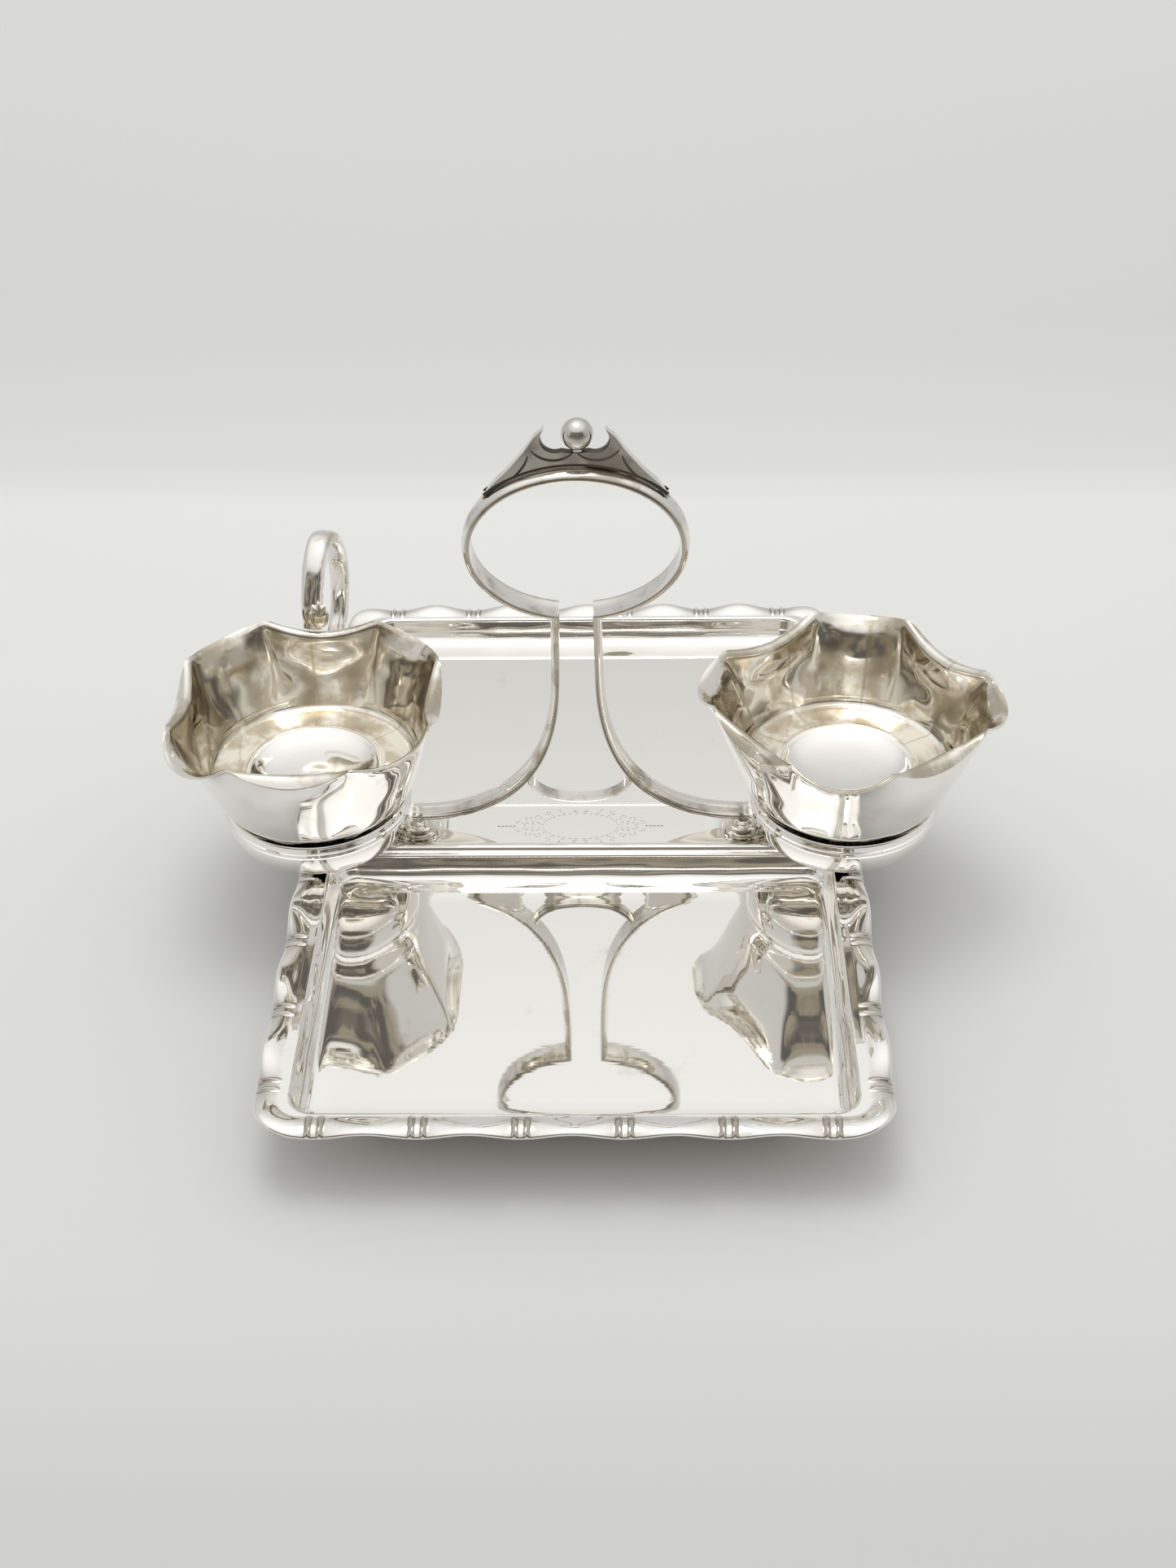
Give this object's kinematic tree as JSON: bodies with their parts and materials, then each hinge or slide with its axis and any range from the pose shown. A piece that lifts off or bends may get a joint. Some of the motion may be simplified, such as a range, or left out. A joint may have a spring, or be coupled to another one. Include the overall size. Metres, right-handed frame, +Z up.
{
  "type": "silver serving stand with cream jug and sugar bowl",
  "caption": "Rectangular silver tray with paired wells, a raised bridge, an overhead loop handle, and a scalloped cream jug and sugar bowl in round sockets.",
  "frame": {"origin": "on the table under the middle of the whole, so the tray's middle is 2.73 mm towards -X", "axes": "+Z up, +Y from the front well to the back well, +X from the cream jug to the sugar bowl"},
  "size_m": [0.2618, 0.2696, 0.174],
  "materials": {
    "silver_plate": "polished silver plate",
    "toned_silver": "polished silver plate, toned brown in the recesses",
    "vessel_silver": "worn polished silver plate",
    "nickel_nut": "dull nickel silver"
  },
  "bodies": {
    "stand": {"tray": "silver_plate", "foot_front_left": "silver_plate", "foot_front_right": "silver_plate", "foot_back_left": "silver_plate", "foot_back_right": "silver_plate", "jug_socket": "silver_plate", "bowl_socket": "silver_plate", "handle_strap": "toned_silver", "handle_crest": "toned_silver", "ball_finial": "silver_plate", "handle_brace": "toned_silver", "handle_foot_left": "toned_silver", "handle_foot_right": "toned_silver", "foot_washer_left": "nickel_nut", "foot_washer_right": "nickel_nut", "foot_nut_left": "nickel_nut", "foot_nut_right": "nickel_nut"},
    "cream_jug": {"jug_body": "vessel_silver", "jug_bottom": "vessel_silver", "jug_handle": "silver_plate", "jug_handle_leaf": "silver_plate"},
    "sugar_bowl": {"bowl_body": "vessel_silver", "bowl_bottom": "vessel_silver"}
  },
  "joints": [
    {"name": "cream_jug_lift", "type": "slide", "parent": "stand", "child": "cream_jug", "axis": [0, 0, 1], "range_m": [0, 0.06]},
    {"name": "sugar_bowl_lift", "type": "slide", "parent": "stand", "child": "sugar_bowl", "axis": [0, 0, 1], "range_m": [0, 0.06]}
  ]
}
